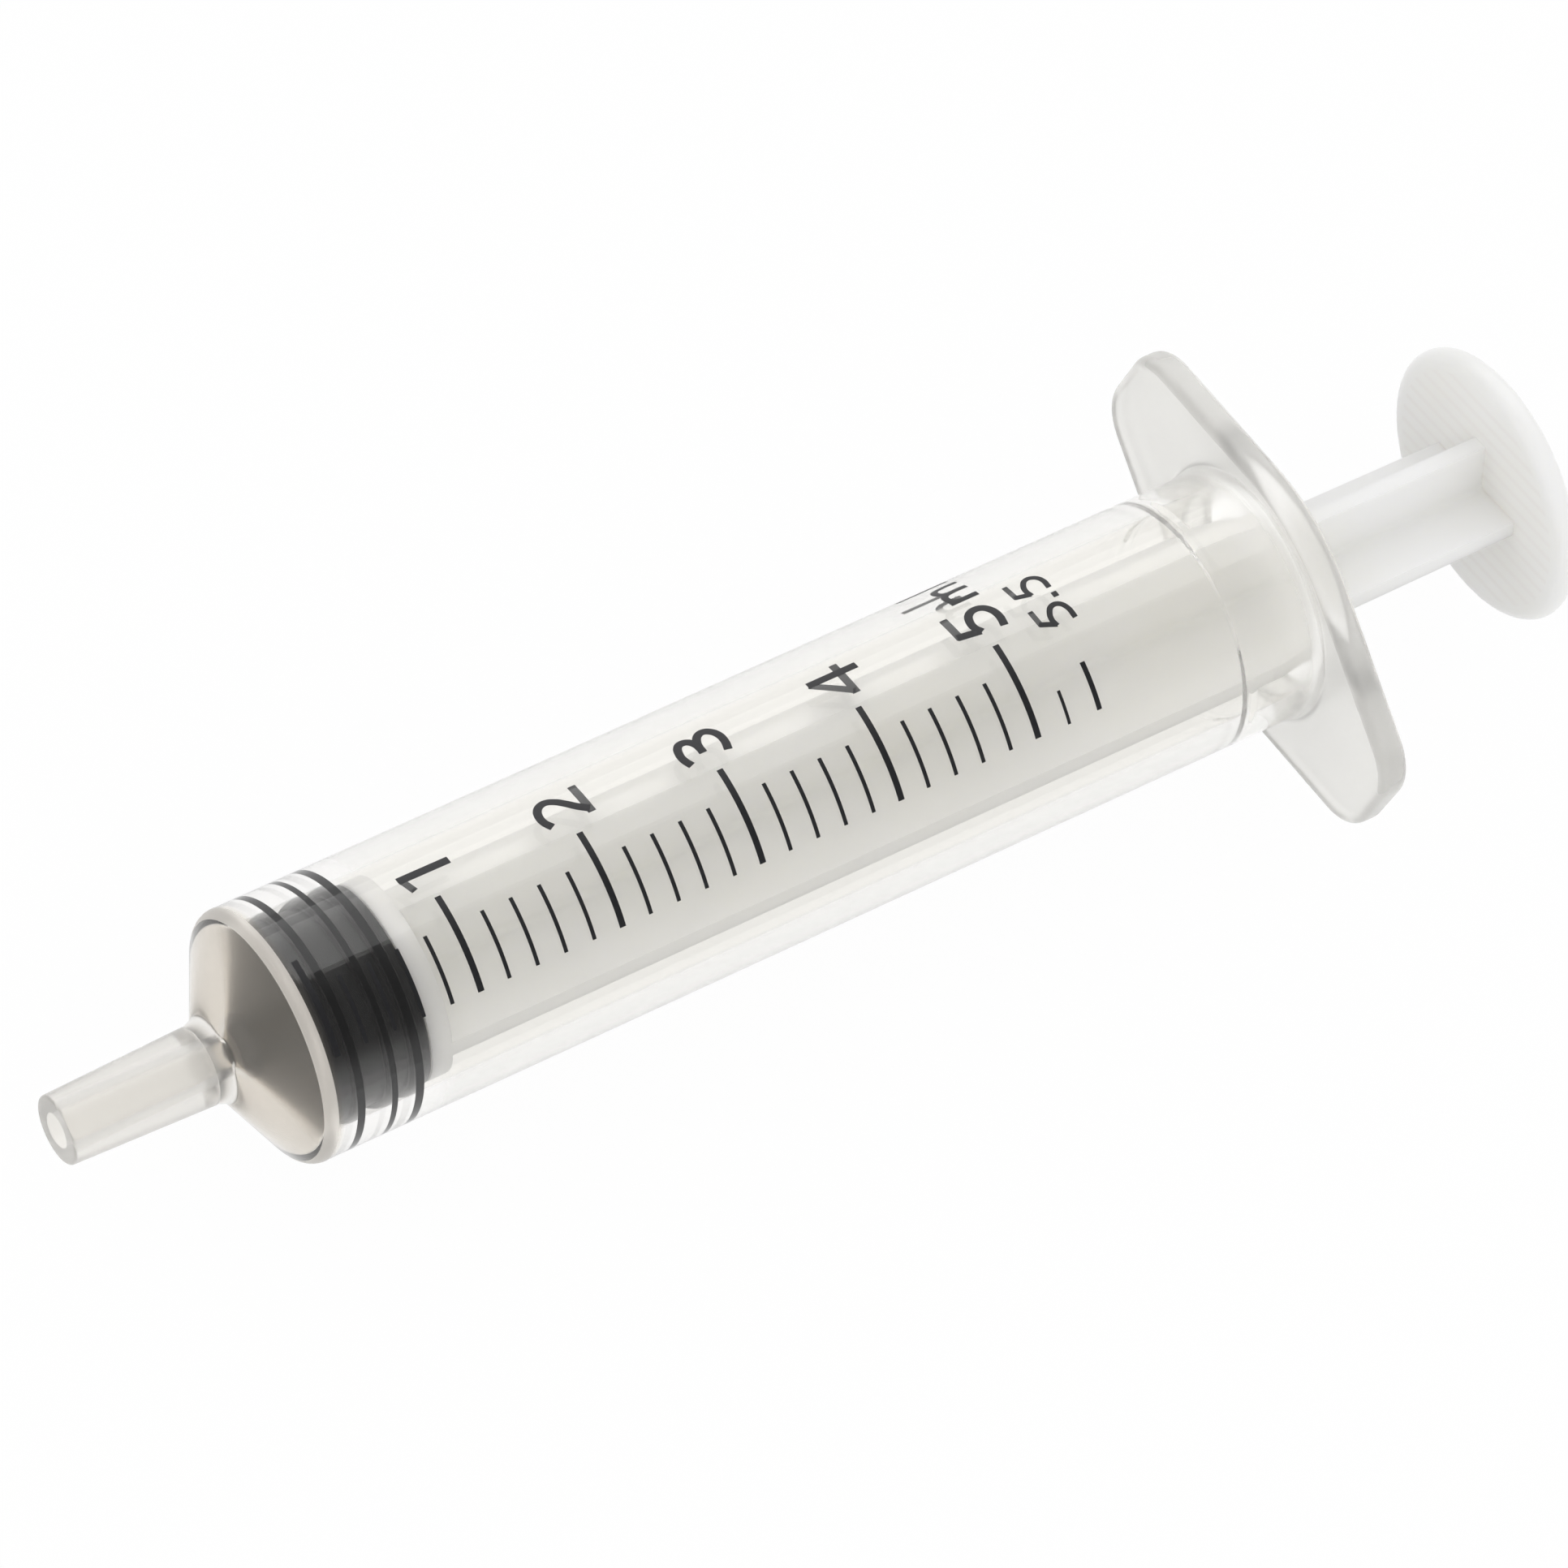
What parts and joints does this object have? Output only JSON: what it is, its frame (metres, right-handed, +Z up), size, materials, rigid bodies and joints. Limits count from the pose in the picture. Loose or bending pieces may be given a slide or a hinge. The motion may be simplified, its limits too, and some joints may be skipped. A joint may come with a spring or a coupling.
{
  "type": "luer slip syringe",
  "caption": "Disposable syringe with a tapered slip nozzle, clear barrel with finger flange, black ribbed gasket, and a cross-ribbed plunger rod with a round thumb rest.",
  "frame": {"origin": "centre of the nozzle's end face", "axes": "+X along the barrel from the nozzle to the thumb rest, +Y along the finger flange, +Z up as it lies"},
  "size_m": [0.0919, 0.0278, 0.0176],
  "materials": {
    "clear_polypropylene": "gloss",
    "black_rubber": "satin",
    "milky_polypropylene": "satin"
  },
  "bodies": {
    "barrel": {"barrel": "clear_polypropylene"},
    "gasket": {"gasket": "black_rubber"},
    "plunger": {"plunger": "milky_polypropylene"}
  },
  "joints": [
    {"name": "plunger_slide", "type": "slide", "parent": "barrel", "child": "gasket", "axis": [1, 0, 0], "range_m": [0, 0.0519]},
    {"name": "plunger_turn", "type": "hinge", "parent": "gasket", "child": "plunger", "pos_m": [0.0186, 0, 0], "axis": [1, 0, 0], "continuous": true}
  ]
}
